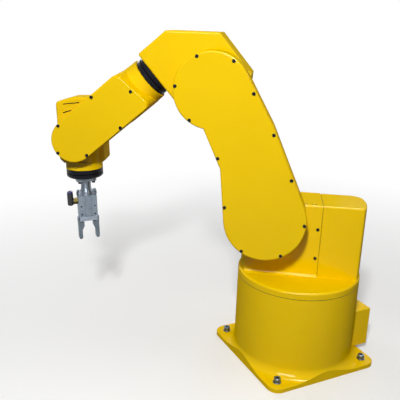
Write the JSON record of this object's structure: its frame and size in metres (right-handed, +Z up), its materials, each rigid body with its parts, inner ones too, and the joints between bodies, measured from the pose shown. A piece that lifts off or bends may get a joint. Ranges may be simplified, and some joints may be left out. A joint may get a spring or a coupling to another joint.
{
  "type": "industrial robot arm",
  "caption": "Articulated bench robot arm on a square bolted base, with slewing turret, one-sided upper arm, rolling forearm, bending wrist and a parallel air gripper.",
  "frame": {"origin": "centre of the base plate's underside, on the slewing axis", "axes": "+Z up along the slewing axis, +X away from the connection box, +Y to the left; the base plate's sides lie along X and Y"},
  "size_m": [0.5812, 0.4216, 0.6326],
  "materials": {
    "yellow_paint": "smooth satin gloss paint on castings",
    "machined_steel": "turned and ground steel",
    "black_ring": "black oxide, satin",
    "anodised_body": "hard anodised extrusion, matt",
    "finger_steel": "ground steel, bluish",
    "brass": "turned brass",
    "black_plastic": "moulded, slightly glossy",
    "blue_plastic": "moulded release ring"
  },
  "bodies": {
    "base": {"base_casting": "yellow_paint", "connection_panel": "yellow_paint"},
    "turret": {"turret_casting": "yellow_paint", "turret_rear_cover": "yellow_paint", "shoulder_cap": "yellow_paint"},
    "upper_arm": {"upper_arm_casting": "yellow_paint", "upper_arm_cover": "yellow_paint", "shoulder_hub": "machined_steel"},
    "elbow": {"elbow_block": "yellow_paint", "elbow_far_cover": "yellow_paint", "elbow_hub": "machined_steel", "roll_ring_rear": "black_ring"},
    "forearm": {"roll_ring_front": "black_ring", "forearm_casting": "yellow_paint", "forearm_cover": "yellow_paint"},
    "wrist": {"wrist_housing": "yellow_paint", "wrist_hub": "machined_steel", "wrist_ring": "black_ring"},
    "tool": {"tool_flange": "black_ring", "adapter_flange": "machined_steel", "adapter_neck": "machined_steel", "clamp_plate": "machined_steel", "gripper_body": "anodised_body", "gripper_rail": "finger_steel", "fitting_thread": "brass", "fitting_elbow": "black_plastic", "fitting_release_ring": "blue_plastic"},
    "jaw_front": {"jaw_front": "finger_steel", "finger_front": "finger_steel"},
    "jaw_rear": {"jaw_rear": "finger_steel", "finger_rear": "finger_steel"}
  },
  "joints": [
    {"name": "j1_slew", "type": "hinge", "parent": "base", "child": "turret", "pos_m": [0, 0, 0.18], "axis": [0, 0, 1], "range_deg": [-137, 203]},
    {"name": "j2_shoulder", "type": "hinge", "parent": "turret", "child": "upper_arm", "pos_m": [0.06122, -0.03976, 0.31], "axis": [0.5446, 0.8387, 0], "range_deg": [-84.7, 35.3]},
    {"name": "j3_elbow", "type": "hinge", "parent": "upper_arm", "child": "elbow", "pos_m": [0.14884, -0.09666, 0.53713], "axis": [-0.5446, -0.8387, 0], "range_deg": [-35, 140]},
    {"name": "j4_roll", "type": "hinge", "parent": "elbow", "child": "forearm", "pos_m": [0.19677, -0.12778, 0.60404], "axis": [0.6377, -0.4141, -0.6494], "range_deg": [-170, 170]},
    {"name": "j5_wrist", "type": "hinge", "parent": "forearm", "child": "wrist", "pos_m": [0.36895, -0.2396, 0.42869], "axis": [-0.5446, -0.8387, 0], "range_deg": [-63.5, 166.5]},
    {"name": "j6_tool", "type": "hinge", "parent": "wrist", "child": "tool", "pos_m": [0.36895, -0.2396, 0.42869], "axis": [0.0293, -0.019, 0.9994], "range_deg": [-170, 170]},
    {"name": "jaw_open", "type": "slide", "parent": "tool", "child": "jaw_front", "axis": [0.9957, -0.0869, -0.0308], "range_m": [0, 0.004]},
    {"name": "jaw_rear_open", "type": "slide", "parent": "tool", "child": "jaw_rear", "axis": [-0.9957, 0.0869, 0.0308], "range_m": [0, 0.004]}
  ],
  "couplings": [
    {"joint": "jaw_rear_open", "follows": "jaw_open", "ratio": 1}
  ]
}
